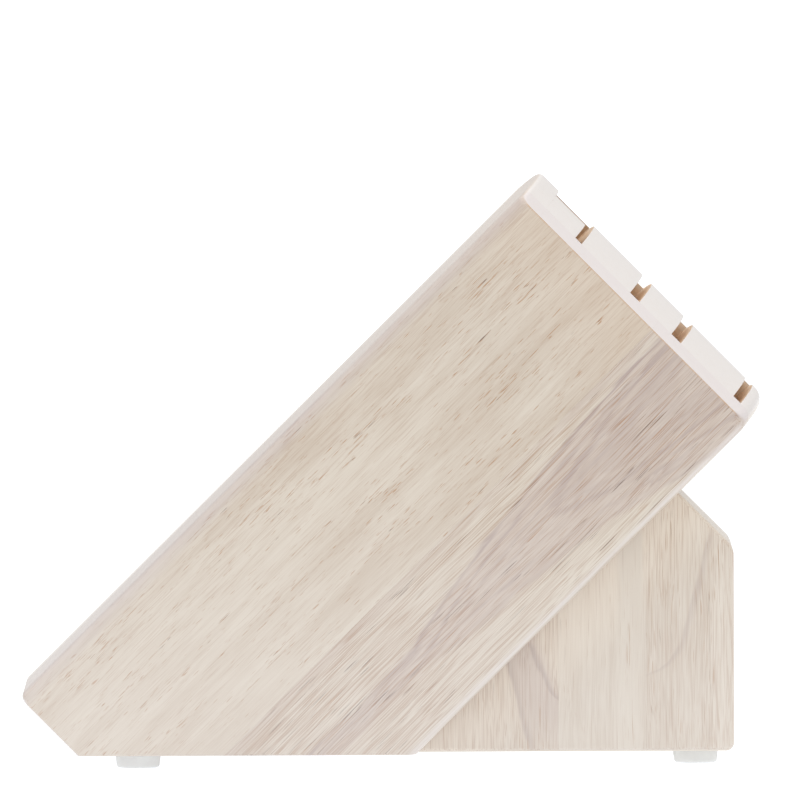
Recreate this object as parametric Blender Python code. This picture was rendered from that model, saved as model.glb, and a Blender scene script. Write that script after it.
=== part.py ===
"""Leaning wooden knife block: a laminated slotted block, glued to a wedge support.

Metres, +Z up. +X runs towards the slotted end, +Y away from the side that faces the viewer.
The origin is on the table, below the middle of the whole object.

The block is laid out in its own frame, and an empty tips that frame up to its lean:
    local X  along the block, 0 at the low end
    local Y  across the block, 0 at the near side face
    local Z  through the block, 0 at the upper face and -BLOCK_THICK at the lower face
A place "down" from the upper face is given as a positive depth.
"""

import math

import bmesh
import bpy
from mathutils import Matrix, Vector

# Driving dimensions of the leaning block
LEAN = math.radians(44.7)
BLOCK_LENGTH = 0.2422  # low end to the near edge of the slotted end
BLOCK_THICK = 0.110  # upper face to lower face
BLOCK_WIDTH = 0.090
LOW_END_FACE = 0.0288  # what the level cut leaves of the low end face
CROWN_RISE = 0.0098  # how far the slotted end bulges at the middle of the width
LONG_EDGE_ROUND = 0.004
LOW_END_ROUND = 0.003
HIGH_CORNER_ROUND = 0.002  # slotted end to upper face
LOWER_CORNER_ROUND = 0.005  # slotted end to lower face
BASE_CORNER_ROUND = 0.0015
CUT_EDGE_EASE = 0.0008  # light sanding round the sawn low end and base

# Lamination
NEAR_BOARD = 0.008
FAR_BOARD = 0.017
STAVE_LINE = 0.0638  # depth of the glue line in both side boards
GLUE_GAP = 0.0003

# Slots, as depth of the first wall, depth of the second wall, and far end across the width
SLOT_1 = (0.0235, 0.0265, 0.065)
SLOT_2 = (0.0500, 0.0545, BLOCK_WIDTH - FAR_BOARD)
SLOT_3 = (0.0700, 0.0745, 0.068)
SLOT_4 = (0.1000, 0.1035, 0.060)
POCKET_TOP = 0.0093  # depth where the scissor pocket beside slot 1 starts
POCKET_NEAR = 0.0275  # near wall of the pocket across the width

# Wedge support
SUPPORT_SET_BACK = 0.016  # from each side face of the block
SUPPORT_REACH = 0.2449  # low corner of the block to the upright face, measured level
SUPPORT_CHAMFER = 0.0192
SUPPORT_CORNER_ROUND = 0.003
CHAMFER_CORNER_ROUND = 0.007
GLUED_CORNER_ROUND = 0.0004  # the two thin edges that meet the block
SUPPORT_EDGE_EASE = 0.0015
SUPPORT_STAVE_LINES = (0.1847, 0.2147)  # glue lines, measured level from the low corner

# Feet
FOOT_HEIGHT = 0.0047
FOOT_DIAMETER = 0.0155
FOOT_TAPER = 0.00035
FOOT_ROUND = 0.0011
FOOT_INSET = 0.008  # side face of the wood to the rim of a foot
TOE_FOOT_X = 0.0406  # low corner to the foot's centre, measured level
HEEL_FOOT_X = 0.2317

# Derived dimensions
LOW_CORNER_HEIGHT = FOOT_HEIGHT + LOW_END_FACE * math.cos(LEAN)
CUT_END_X = LOW_END_FACE * math.sin(LEAN) + (BLOCK_THICK - LOW_END_FACE) / math.sin(LEAN)
CROWN_RADIUS = ((BLOCK_WIDTH / 2) ** 2 + CROWN_RISE**2) / (2 * CROWN_RISE)
FAR_INNER = BLOCK_WIDTH - FAR_BOARD
CORNER_LOSS = math.cos(LEAN) + math.sin(LEAN) - 1  # how far rounding sets a corner back, per radius
LEFT_MOST = LOW_END_ROUND * CORNER_LOSS
UPPER_REACH = (BLOCK_LENGTH + CROWN_RISE) * math.cos(LEAN) + BLOCK_THICK * math.sin(LEAN)
RIGHT_MOST = UPPER_REACH - LOWER_CORNER_ROUND * CORNER_LOSS
LOW_CORNER_X = -(LEFT_MOST + RIGHT_MOST) / 2
SUPPORT_PEAK_X = SUPPORT_REACH - SUPPORT_CHAMFER
OVERSIZE = 0.02  # how far a board blank stands out past the finished surface

# Facets
ROUND_STEPS = 4
CROWN_STEPS = 20
FOOT_SIDES = 40
SMOOTH_ANGLE = math.radians(40)

# Colours
CREAM_WOOD = (0.69, 0.61, 0.53, 1)
MAUVE_WOOD = (0.62, 0.53, 0.46, 1)
PALE_WOOD = (0.80, 0.75, 0.71, 1)
ROSY_WOOD = (0.68, 0.59, 0.52, 1)
FOOT_COLOUR = (0.74, 0.75, 0.73, 1)
WOOD_ROUGHNESS = 0.55
FOOT_ROUGHNESS = 0.4


def clear_scene():
    for item in list(bpy.data.objects):
        bpy.data.objects.remove(item)


def principled(name, colour, roughness):
    """A Principled material of one colour."""
    material = bpy.data.materials.new(name)
    material.use_nodes = True
    shader = material.node_tree.nodes["Principled BSDF"]
    shader.inputs["Base Color"].default_value = colour
    shader.inputs["Roughness"].default_value = roughness
    shader.inputs["Metallic"].default_value = 0
    material.diffuse_color = colour
    return material


def new_empty(name, parent, location):
    """A frame that other objects are placed in."""
    empty = bpy.data.objects.new(name, None)
    bpy.context.collection.objects.link(empty)
    empty.parent = parent
    empty.location = location
    return empty


def mesh_object(name, body, parent):
    """An object under a parent, with the mesh that a bmesh holds."""
    bmesh.ops.recalc_face_normals(body, faces=body.faces)
    mesh = bpy.data.meshes.new(name)
    body.to_mesh(mesh)
    body.free()
    item = bpy.data.objects.new(name, mesh)
    bpy.context.collection.objects.link(item)
    item.parent = parent
    return item


def inset_line(point, direction, inset):
    """A line as (point, direction), moved to its left by the inset."""
    along = Vector(direction).normalized()
    return Vector(point) + Vector((-along.y, along.x)) * inset, along


def crossing(line, other_line):
    """Where two lines meet."""
    start, along = line
    other, across = other_line
    distance = (other - start).cross(across) / along.cross(across)
    return start + along * distance


def rounded_outline(lines, radii):
    """Points of the polygon inside these lines, rounded where each line meets the one before it."""
    corners = [crossing(lines[index - 1], line) for index, line in enumerate(lines)]
    points = []
    for index, (corner, radius) in enumerate(zip(corners, radii)):
        before = (corners[index - 1] - corner).normalized()
        after = (corners[(index + 1) % len(corners)] - corner).normalized()
        half_angle = before.angle(after) / 2
        centre = corner + (before + after).normalized() * (radius / math.sin(half_angle))
        start = corner + before * (radius / math.tan(half_angle)) - centre
        turn = -math.copysign(math.pi - 2 * half_angle, before.cross(after))
        for step in range(ROUND_STEPS + 1):
            points.append(centre + Matrix.Rotation(turn * step / ROUND_STEPS, 2) @ start)
    return points


def edge_loss(from_side, radius):
    """How far a face has turned in at this distance from a side face, under a rounded edge."""
    if from_side >= radius:
        return 0.0
    return radius - math.sqrt(max(0.0, radius**2 - (radius - from_side) ** 2))


def crown(across):
    """How far the slotted end bulges at this place across the width."""
    from_middle = across - BLOCK_WIDTH / 2
    return math.sqrt(CROWN_RADIUS**2 - from_middle**2) - (CROWN_RADIUS - CROWN_RISE)


def block_outline(across):
    """Side outline of the finished block at this place across its width, in its local XZ."""
    from_side = min(across, BLOCK_WIDTH - across)
    long_loss = edge_loss(from_side, LONG_EDGE_ROUND)
    cut_loss = edge_loss(from_side, CUT_EDGE_EASE)
    high_end = BLOCK_LENGTH + crown(across)
    upper_face = inset_line((0, 0), (-1, 0), long_loss)
    low_end = inset_line((0, 0), (0, -1), cut_loss)
    level_cut = inset_line((0, -LOW_END_FACE), (math.cos(LEAN), -math.sin(LEAN)), cut_loss)
    lower_face = inset_line((0, -BLOCK_THICK), (1, 0), long_loss)
    slotted_end = inset_line((high_end, 0), (0, 1), 0)
    return rounded_outline(
        (upper_face, low_end, level_cut, lower_face, slotted_end),
        (HIGH_CORNER_ROUND, LOW_END_ROUND, BASE_CORNER_ROUND, BASE_CORNER_ROUND, LOWER_CORNER_ROUND),
    )


def support_outline(across):
    """Side outline of the finished support, in XZ measured from under the block's low corner."""
    from_side = min(across, BLOCK_WIDTH - across) - SUPPORT_SET_BACK
    ease = edge_loss(from_side, SUPPORT_EDGE_EASE)
    peak_height = FOOT_HEIGHT + (SUPPORT_PEAK_X - CUT_END_X) * math.tan(LEAN)
    glued_face = inset_line((CUT_END_X, FOOT_HEIGHT), (-math.cos(LEAN), -math.sin(LEAN)), GLUE_GAP)
    floor = inset_line((0, FOOT_HEIGHT), (1, 0), ease)
    upright = inset_line((SUPPORT_REACH, 0), (0, 1), ease)
    chamfer = inset_line((SUPPORT_PEAK_X, peak_height), (-1, 1), ease)
    return rounded_outline(
        (glued_face, floor, upright, chamfer),
        (GLUED_CORNER_ROUND, GLUED_CORNER_ROUND, SUPPORT_CORNER_ROUND, CHAMFER_CORNER_ROUND),
    )


def eased_stations(near, far, radius, inner_steps):
    """Stations along Y from near to far, closer together where the long edges turn over."""
    turn = []
    for step in range(ROUND_STEPS + 1):
        turn.append(radius * (1 - math.cos(math.pi / 2 * step / ROUND_STEPS)))
    inner = []
    for step in range(1, inner_steps):
        inner.append(near + radius + (far - near - 2 * radius) * step / inner_steps)
    return [near + offset for offset in turn] + inner + [far - offset for offset in reversed(turn)]


def lofted_guide(name, stations, outline_at, parent):
    """A closed shaping solid through outlines in XZ, one at each station along Y."""
    body = bmesh.new()
    rings = []
    for station in stations:
        rings.append([body.verts.new((point.x, station, point.y)) for point in outline_at(station)])
    for ring, following in zip(rings, rings[1:]):
        for index in range(len(ring)):
            # Index -1 closes the ring.
            body.faces.new((ring[index - 1], ring[index], following[index], following[index - 1]))
    body.faces.new(rings[0])
    body.faces.new(rings[-1])
    guide = mesh_object(name, body, parent)
    guide.hide_render = True
    guide.display_type = "WIRE"
    return guide


def board(name, low, high, shape, colour):
    """A board blank between two corners, cut to the finished outer shape and placed with it."""
    size = Vector(high) - Vector(low)
    middle = (Vector(high) + Vector(low)) / 2
    blank = bmesh.new()
    bmesh.ops.create_cube(blank, size=1)
    placed = Matrix.Translation(middle) @ Matrix.Diagonal((*size, 1))
    bmesh.ops.transform(blank, matrix=placed, verts=blank.verts)
    item = mesh_object(name, blank, shape.parent)
    item.data.materials.append(principled(f"{name}_wood", colour, WOOD_ROUGHNESS))
    cut = item.modifiers.new("finished_shape", "BOOLEAN")
    cut.operation = "INTERSECT"
    cut.solver = "EXACT"
    cut.object = shape


def block_board(name, depths, across, shape, colour, gaps=(0, 0)):
    """A board between two depths and two places across. It is short of its neighbours by the gaps."""
    shallow, deep = depths
    near, far = across
    top = OVERSIZE if shallow == 0 else -shallow - gaps[0]
    bottom = -BLOCK_THICK - OVERSIZE if deep == BLOCK_THICK else -deep + gaps[1]
    near_side = -OVERSIZE if near == 0 else near
    far_side = BLOCK_WIDTH + OVERSIZE if far == BLOCK_WIDTH else far - GLUE_GAP
    low = (-OVERSIZE, near_side, bottom)
    high = (BLOCK_LENGTH + OVERSIZE, far_side, top)
    board(name, low, high, shape, colour)


def make_side_boards(shape):
    """Both side boards, each edge-glued from two staves."""
    for side, across in (("near", (0, NEAR_BOARD)), ("far", (FAR_INNER, BLOCK_WIDTH))):
        upper = (0, STAVE_LINE)
        lower = (STAVE_LINE, BLOCK_THICK)
        block_board(f"side_board_{side}_upper", upper, across, shape, CREAM_WOOD)
        block_board(f"side_board_{side}_lower", lower, across, shape, MAUVE_WOOD, (GLUE_GAP, 0))


def make_core(shape):
    """The boards between the slots, and the fillers that close the slots and the pocket."""
    inside = (NEAR_BOARD, FAR_INNER)
    boards = {
        "core_board_top": (0, POCKET_TOP),
        "core_board_upper": (SLOT_1[1], SLOT_2[0]),
        "core_board_middle": (SLOT_2[1], SLOT_3[0]),
        "core_board_lower": (SLOT_3[1], SLOT_4[0]),
        "core_board_bottom": (SLOT_4[1], BLOCK_THICK),
    }
    for name, depths in boards.items():
        block_board(name, depths, inside, shape, PALE_WOOD)
    beside_pocket = (NEAR_BOARD, POCKET_NEAR + GLUE_GAP)
    pocket_depths = (POCKET_TOP, SLOT_1[0])
    block_board("pocket_filler_near", pocket_depths, beside_pocket, shape, PALE_WOOD, (GLUE_GAP, 0))
    fillers = {
        "pocket_filler_far": (POCKET_TOP, SLOT_1[1], SLOT_1[2]),
        "slot_spacer_third": SLOT_3,
        "slot_spacer_fourth": SLOT_4,
    }
    for name, (shallow, deep, start) in fillers.items():
        across = (start, FAR_INNER)
        block_board(name, (shallow, deep), across, shape, PALE_WOOD, (GLUE_GAP, GLUE_GAP))


def make_support(shape):
    """The wedge support, edge-glued from three upright staves."""
    staves = (
        ("inner", 0, SUPPORT_STAVE_LINES[0], ROSY_WOOD),
        ("middle", *SUPPORT_STAVE_LINES, CREAM_WOOD),
        ("outer", SUPPORT_STAVE_LINES[1], SUPPORT_REACH + OVERSIZE, ROSY_WOOD),
    )
    for name, left, right, colour in staves:
        low = (left, 0, 0)
        high = (right - GLUE_GAP, BLOCK_WIDTH, BLOCK_THICK)
        board(f"support_stave_{name}", low, high, shape, colour)


def foot_body():
    """A round bumper: flat top, slightly tapered side and a rounded lower edge."""
    top_radius = FOOT_DIAMETER / 2
    turn_centre = top_radius - FOOT_TAPER - FOOT_ROUND
    profile = [(top_radius, FOOT_HEIGHT - GLUE_GAP)]
    for step in range(ROUND_STEPS + 1):
        angle = math.pi / 2 * step / ROUND_STEPS
        radius = turn_centre + FOOT_ROUND * math.cos(angle)
        profile.append((radius, FOOT_ROUND - FOOT_ROUND * math.sin(angle)))
    body = bmesh.new()
    rings = []
    for radius, height in profile:
        ring = []
        for side in range(FOOT_SIDES):
            angle = 2 * math.pi * side / FOOT_SIDES
            ring.append(body.verts.new((radius * math.cos(angle), radius * math.sin(angle), height)))
        rings.append(ring)
    for ring, following in zip(rings, rings[1:]):
        for index in range(FOOT_SIDES):
            body.faces.new((ring[index - 1], ring[index], following[index], following[index - 1]))
    body.faces.new(rings[0])
    body.faces.new(rings[-1])
    return body


def make_feet(parent):
    """Two bumpers under the low end of the block and two under the support."""
    rows = (("toe", TOE_FOOT_X, 0), ("heel", HEEL_FOOT_X, SUPPORT_SET_BACK))
    for row, level, wood_side in rows:
        near = wood_side + FOOT_INSET + FOOT_DIAMETER / 2
        for side, across in (("near", near), ("far", BLOCK_WIDTH - near)):
            name = f"foot_{row}_{side}"
            foot = mesh_object(name, foot_body(), parent)
            foot.location = (level, across, 0)
            foot.data.materials.append(principled(f"{name}_plastic", FOOT_COLOUR, FOOT_ROUGHNESS))
            foot.data.shade_smooth()
            foot.data.set_sharp_from_angle(angle=SMOOTH_ANGLE)


def main():
    clear_scene()
    base = new_empty("base_frame", None, (LOW_CORNER_X, -BLOCK_WIDTH / 2, 0))
    leaning = new_empty("leaning_frame", base, (0, 0, LOW_CORNER_HEIGHT))
    leaning.rotation_euler = (0, -LEAN, 0)

    stations = eased_stations(0, BLOCK_WIDTH, LONG_EDGE_ROUND, CROWN_STEPS)
    block_shape = lofted_guide("block_shape", stations, block_outline, leaning)
    support_far = BLOCK_WIDTH - SUPPORT_SET_BACK
    stations = eased_stations(SUPPORT_SET_BACK, support_far, SUPPORT_EDGE_EASE, 1)
    support_shape = lofted_guide("support_shape", stations, support_outline, base)

    make_side_boards(block_shape)
    make_core(block_shape)
    make_support(support_shape)
    make_feet(base)


main()
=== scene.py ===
"""Looks of the leaning knife block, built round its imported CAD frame.

Metres, +Z up, in the CAD's own frame: +X runs towards the slotted end, +Y away from the camera.
Every wooden CAD node gets a finer piece with the same outer shape, eased slot mouths and nearly closed
glue lines, and each foot gets a moulded bumper. All the wood is procedural. It is described in
millimetres in the grain frame of its board: along the grain, across the block, and in depth, which is
down from the upper face for the block and level from the block's low corner for the support.
"""

import math
from collections import namedtuple

import bmesh
import bpy
from mathutils import Matrix, Vector


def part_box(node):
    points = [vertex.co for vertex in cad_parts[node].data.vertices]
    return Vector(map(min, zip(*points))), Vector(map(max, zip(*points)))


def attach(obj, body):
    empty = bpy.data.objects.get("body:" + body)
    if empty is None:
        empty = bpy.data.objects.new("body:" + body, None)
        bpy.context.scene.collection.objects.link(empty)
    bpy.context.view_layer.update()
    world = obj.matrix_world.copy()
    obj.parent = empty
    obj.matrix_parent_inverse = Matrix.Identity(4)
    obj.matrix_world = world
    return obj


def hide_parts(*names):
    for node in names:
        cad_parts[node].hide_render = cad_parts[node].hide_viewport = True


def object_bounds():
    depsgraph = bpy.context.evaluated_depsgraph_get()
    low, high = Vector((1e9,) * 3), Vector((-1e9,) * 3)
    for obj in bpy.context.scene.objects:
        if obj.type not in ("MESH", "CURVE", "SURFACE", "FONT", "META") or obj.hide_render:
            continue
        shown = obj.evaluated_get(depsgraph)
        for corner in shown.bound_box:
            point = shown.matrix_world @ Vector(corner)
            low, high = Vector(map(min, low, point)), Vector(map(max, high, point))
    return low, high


MM = 0.001

# The block, as in the CAD
LEAN = math.radians(44.7)
BLOCK_LENGTH = 0.2422
BLOCK_THICK = 0.110
BLOCK_WIDTH = 0.090
LOW_END_FACE = 0.0288
CROWN_RISE = 0.0098
LONG_EDGE_ROUND = 0.004
LOW_END_ROUND = 0.003
HIGH_CORNER_ROUND = 0.002  # slotted end to upper face
LOWER_CORNER_ROUND = 0.005  # slotted end to lower face
BASE_CORNER_ROUND = 0.0015
CUT_EDGE_EASE = 0.0008
NEAR_BOARD = 0.008
FAR_BOARD = 0.017
STAVE_LINE = 0.0638
POCKET_TOP = 0.0093
POCKET_NEAR = 0.0275
# A slot runs right through. It lies between two depths, from the near board to its far end across.
Slot = namedtuple("Slot", "first last far_end")
SLOT_1 = Slot(0.0235, 0.0265, 0.065)
SLOT_2 = Slot(0.0500, 0.0545, BLOCK_WIDTH - FAR_BOARD)
SLOT_3 = Slot(0.0700, 0.0745, 0.068)
SLOT_4 = Slot(0.1000, 0.1035, 0.060)

# The support, as in the CAD
SUPPORT_SET_BACK = 0.016
SUPPORT_REACH = 0.2449
SUPPORT_CHAMFER = 0.0192
SUPPORT_CORNER_ROUND = 0.003
CHAMFER_CORNER_ROUND = 0.007
GLUED_CORNER_ROUND = 0.0004
SUPPORT_EDGE_EASE = 0.0015
SUPPORT_STAVE_LINES = (0.1847, 0.2147)

# The feet, as in the CAD
FOOT_HEIGHT = 0.0047
FOOT_DIAMETER = 0.0155
FOOT_TAPER = 0.00035
FOOT_ROUND = 0.0011

# Finer than in the CAD
GLUE_LINE = 0.000012  # what still shows of a glued joint
MOUTH_EASE = 0.0002  # sanding round the mouths of the slots
ROUND_STEPS = 9
CROWN_STEPS = 36
SMOOTH_ANGLE = math.radians(32)
OVERSIZE = 0.02  # by which a blank sticks out of the finished shape
FOOT_SIDES = 96

# Derived dimensions
LOW_CORNER_HEIGHT = FOOT_HEIGHT + LOW_END_FACE * math.cos(LEAN)
CUT_END_X = LOW_END_FACE * math.sin(LEAN) + (BLOCK_THICK - LOW_END_FACE) / math.sin(LEAN)
CROWN_RADIUS = ((BLOCK_WIDTH / 2) ** 2 + CROWN_RISE**2) / (2 * CROWN_RISE)
FAR_INNER = BLOCK_WIDTH - FAR_BOARD
SUPPORT_PEAK_X = SUPPORT_REACH - SUPPORT_CHAMFER

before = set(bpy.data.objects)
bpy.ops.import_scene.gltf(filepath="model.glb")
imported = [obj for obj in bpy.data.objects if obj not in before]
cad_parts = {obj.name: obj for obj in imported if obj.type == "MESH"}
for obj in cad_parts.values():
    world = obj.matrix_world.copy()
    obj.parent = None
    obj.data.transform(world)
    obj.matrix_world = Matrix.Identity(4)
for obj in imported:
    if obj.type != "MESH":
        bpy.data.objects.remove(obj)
cad_low, cad_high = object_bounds()

# The low corner of the block is where its rounded low end would come to a point.
LOW_CORNER_X = cad_low.x - LOW_END_ROUND * (math.cos(LEAN) + math.sin(LEAN) - 1)
LOW_CORNER = Vector((LOW_CORNER_X, cad_low.y, LOW_CORNER_HEIGHT))
UNDER_CORNER = Vector((LOW_CORNER_X, cad_low.y, 0))
BLOCK_FRAME = Matrix.Translation(LOW_CORNER) @ Matrix.Rotation(-LEAN, 4, "Y")
SUPPORT_FRAME = Matrix.Translation(UNDER_CORNER)


# ---------------------------------------------------------------- shader values


def plug(socket, value):
    """Links a signal to a socket, or sets the socket to a plain value."""
    if isinstance(value, Signal):
        socket.id_data.links.new(value.socket, socket)
    else:
        socket.default_value = value


class Signal:
    """A value in a shader. Python arithmetic on it adds nodes."""

    def __init__(self, socket):
        self.socket = socket
        self.tree = socket.id_data

    def math(self, operation, *values):
        """The result of a Math node with these inputs."""
        node = self.tree.nodes.new("ShaderNodeMath")
        node.operation = operation
        for slot, value in zip(node.inputs, values):
            plug(slot, value)
        return Signal(node.outputs[0])

    def __add__(self, other):
        return self.math("ADD", self, other)

    def __sub__(self, other):
        return self.math("SUBTRACT", self, other)

    def __rsub__(self, other):
        return self.math("SUBTRACT", other, self)

    def __mul__(self, other):
        return self.math("MULTIPLY", self, other)

    def __truediv__(self, other):
        return self.math("DIVIDE", self, other)

    def __neg__(self):
        return self.math("MULTIPLY", self, -1)

    def __abs__(self):
        return self.math("ABSOLUTE", self)

    def __pow__(self, power):
        return self.math("POWER", self, power)

    def lowest(self, other):
        return self.math("MINIMUM", self, other)

    def highest(self, other):
        return self.math("MAXIMUM", self, other)

    def rise(self, start, end):
        """0 at start, 1 at end, and smooth between. Start may be the larger."""
        node = self.tree.nodes.new("ShaderNodeMapRange")
        node.interpolation_type = "SMOOTHSTEP"
        plug(node.inputs["Value"], self)
        plug(node.inputs["From Min"], start)
        plug(node.inputs["From Max"], end)
        return Signal(node.outputs["Result"])


def srgb(red, green, blue):
    """A linear colour from its display values from 0 to 255, by the sRGB standard."""
    channels = []
    for value in (red, green, blue):
        share = value / 255
        channels.append(share / 12.92 if share <= 0.04045 else ((share + 0.055) / 1.055) ** 2.4)
    return (*channels, 1.0)


# Sockets of the Mix node that take part when it mixes colours
MIX_FACTOR = 0
MIX_FIRST = 6
MIX_SECOND = 7
MIX_RESULT = 2


def colour_blend(tree, factor, first, second):
    """A colour between two: the first at factor 0, the second at 1."""
    node = tree.nodes.new("ShaderNodeMix")
    node.data_type = "RGBA"
    plug(node.inputs[MIX_FACTOR], factor)
    plug(node.inputs[MIX_FIRST], first)
    plug(node.inputs[MIX_SECOND], second)
    return Signal(node.outputs[MIX_RESULT])


# How far apart two patterns of noise lie, in sizes of their features
PATTERN_STEPS = (7.3, 3.1, 5.7)
FLAT_PATTERN_STEP = 4.7


class Grain:
    """Places and patterns in the grain frame of one board, in millimetres."""

    def __init__(self, tree, placing, lean, seed):
        self.tree = tree
        self.seed = seed
        coordinates = tree.nodes.new("ShaderNodeTexCoord")
        mapping = tree.nodes.new("ShaderNodeMapping")
        mapping.vector_type = "TEXTURE"
        mapping.inputs["Location"].default_value = placing
        mapping.inputs["Rotation"].default_value = (0, -lean, 0)
        mapping.inputs["Scale"].default_value = (MM, MM, MM)
        tree.links.new(coordinates.outputs["Object"], mapping.inputs["Vector"])
        split = tree.nodes.new("ShaderNodeSeparateXYZ")
        tree.links.new(mapping.outputs["Vector"], split.inputs["Vector"])
        self.along = Signal(split.outputs["X"])
        self.across = Signal(split.outputs["Y"])
        self.depth = -Signal(split.outputs["Z"])
        self.point = mapping.outputs["Vector"]
        world = tree.nodes.new("ShaderNodeSeparateXYZ")
        tree.links.new(coordinates.outputs["Object"], world.inputs["Vector"])
        self.height = Signal(world.outputs["Z"]) * (1 / MM)
        self.axis = Vector((math.cos(lean), 0, math.sin(lean)))

    def wander(self, amount, length, width):
        """Makes the grain drift sideways by up to half this amount."""
        sideways = self.sway(amount, length, width)
        inwards = self.sway(amount, length, width)
        joined = self.tree.nodes.new("ShaderNodeCombineXYZ")
        plug(joined.inputs["X"], self.along)
        plug(joined.inputs["Y"], self.across + inwards)
        plug(joined.inputs["Z"], sideways - self.depth)
        self.point = joined.outputs["Vector"]
        self.drift = sideways

    def noise(self, length, width, detail=2):
        """Noise from 0 to 1 with features this long and this wide. Each call gets a new pattern."""
        self.seed += 1
        mapping = self.tree.nodes.new("ShaderNodeMapping")
        mapping.inputs["Location"].default_value = [step * self.seed for step in PATTERN_STEPS]
        mapping.inputs["Scale"].default_value = (1 / length, 1 / width, 1 / width)
        self.tree.links.new(self.point, mapping.inputs["Vector"])
        node = self.tree.nodes.new("ShaderNodeTexNoise")
        node.inputs["Scale"].default_value = 1
        node.inputs["Detail"].default_value = detail
        self.tree.links.new(mapping.outputs["Vector"], node.inputs["Vector"])
        return Signal(node.outputs["Fac"])

    def sway(self, amount, length, width, detail=2):
        """Noise about 0 that spans this amount."""
        return (self.noise(length, width, detail) - 0.5) * amount

    def patchy(self, length, width, start, end, least):
        """Noise cut off at two levels, as a share from the least to 1."""
        return self.noise(length, width).rise(start, end) * (1 - least) + least

    def noise_at(self, first, second):
        """Noise from 0 to 1 at a place given by two signals, with features of size 1."""
        self.seed += 1
        joined = self.tree.nodes.new("ShaderNodeCombineXYZ")
        plug(joined.inputs["X"], first)
        plug(joined.inputs["Y"], second)
        joined.inputs["Z"].default_value = FLAT_PATTERN_STEP * self.seed
        node = self.tree.nodes.new("ShaderNodeTexNoise")
        node.inputs["Scale"].default_value = 1
        self.tree.links.new(joined.outputs["Vector"], node.inputs["Vector"])
        return Signal(node.outputs["Fac"])

    def facing(self, axis):
        """How squarely the surface faces along an axis, from -1 to 1."""
        geometry = self.tree.nodes.new("ShaderNodeNewGeometry")
        dot = self.tree.nodes.new("ShaderNodeVectorMath")
        dot.operation = "DOT_PRODUCT"
        self.tree.links.new(geometry.outputs["Normal"], dot.inputs[0])
        dot.inputs[1].default_value = axis
        return Signal(dot.outputs["Value"])


# ---------------------------------------------------------------- wood

# Base colours, before the light and the coat are added
CREAM = srgb(207, 197, 184)
PALE_CREAM = srgb(216, 206, 193)
BEIGE = srgb(190, 175, 159)
ROSY = srgb(205, 189, 178)
MAUVE = srgb(184, 167, 160)
DARK_MAUVE = srgb(162, 144, 139)
PORE = srgb(162, 112, 64)
DARK_PORE = srgb(88, 60, 44)
HAIRLINE = srgb(150, 108, 74)
# Painted light: the pale, cool colour that lower parts take on in place of light thrown back by the
# floor
PAINTED_FLOOR_BOUNCE = srgb(222, 217, 216)
END_WHITE = srgb(210, 205, 203)
END_LILAC = srgb(207, 200, 200)
WORN_EDGE = srgb(190, 156, 122)
# Painted reflection: the cool tint of the rounded upper edge, darkened against the overhead light
PAINTED_EDGE_REFLECTION = srgb(182, 171, 171)
# Painted shade on the upper face, offsetting the bright overhead light
PAINTED_TOP_SHADE = srgb(168, 156, 154)
# Painted highlight on the rounded lower edge, where it catches light from the floor
PAINTED_EDGE_HIGHLIGHT = srgb(211, 203, 198)
# Painted light: a paler, warmer colour that cancels the block's shadow on the support
PAINTED_FILL_LIGHT = srgb(238, 224, 206)
WARM_STREAK = srgb(196, 168, 140)
RAW_BROWN = srgb(240, 215, 190)
RAW_DARK = srgb(222, 188, 152)
# Painted shade for the walls of the pocket and the first slot
POCKET_PAINTED_SHADE = srgb(168, 130, 92)


def new_material(name):
    """A material with a plain Principled shader."""
    material = bpy.data.materials.new(name)
    material.use_nodes = True
    return material


def dress_surface(tree, colour, roughness, bumps, strength, distance):
    """Links colour, roughness and bumps to the material's shader, and gives the shader."""
    shader = tree.nodes["Principled BSDF"]
    plug(shader.inputs["Base Color"], colour)
    plug(shader.inputs["Roughness"], roughness)
    bump = tree.nodes.new("ShaderNodeBump")
    bump.inputs["Strength"].default_value = strength
    bump.inputs["Distance"].default_value = distance
    plug(bump.inputs["Height"], bumps)
    tree.links.new(bump.outputs["Normal"], shader.inputs["Normal"])
    return shader


def crown_reach(grain):
    """Millimetres from a point to the slotted end, measured along the grain."""
    radius = CROWN_RADIUS / MM
    from_middle = grain.across - BLOCK_WIDTH / MM / 2
    bulge = (radius**2 - from_middle * from_middle) ** 0.5 - (radius - CROWN_RISE / MM)
    return bulge + BLOCK_LENGTH / MM - grain.along


def from_sides(grain):
    """Millimetres to the nearer side face."""
    return grain.across.lowest(BLOCK_WIDTH / MM - grain.across)


# Layers of tone in long grain: amount, length and width in mm, and detail
BANDS = (0.8, 300, 8, 3)
PATCHES = (1.0, 36, 4.5, 3)
STREAKS = (0.35, 50, 1.2, 2)
FIBRES = (14, 0.33, 1)  # their amount is the board's own
MIDDLE_TONE = 0.45
SOFT_FIBRES = 0.6
MIDDLING_FIBRES = 1.1
STRONG_FIBRES = 2.0


def long_grain(grain, dark, fibre_amount):
    """The tone of long grain, from cream to the dark colour, in broad bands down to single fibres."""
    tone = grain.sway(*BANDS) + grain.sway(*PATCHES) + grain.sway(*STREAKS)
    tone = tone + grain.sway(fibre_amount, *FIBRES) + MIDDLE_TONE
    return colour_blend(grain.tree, tone.rise(0, 1), CREAM, dark)


# How pores look: length and width in mm, strength of the pores and of the hairlines between them,
# and the noise level near which a pore turns nearly black
PoreStyle = namedtuple("PoreStyle", "length width strength hairlines dark_level")
SHORT_PORES = PoreStyle(length=5.5, width=0.36, strength=0.76, hairlines=0.26, dark_level=0.66)
LONG_PORES = PoreStyle(length=16, width=0.3, strength=0.76, hairlines=0.52, dark_level=0.49)
FAINT_PORES = PoreStyle(length=14, width=0.3, strength=0.6, hairlines=0.36, dark_level=0.64)
PORE_CLUSTERS = (0.34, 40, 6, 2)  # amount, length and width in mm, and detail
PORE_OPENS = (0.665, 0.76)  # noise levels between which a pore opens
HAIRLINE_OPENS = (0.54, 0.74)
HAIRLINE_WIDTH = 0.3
SHADE_WIDTH = 1.2  # of the patches in which pores are equally dark


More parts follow.
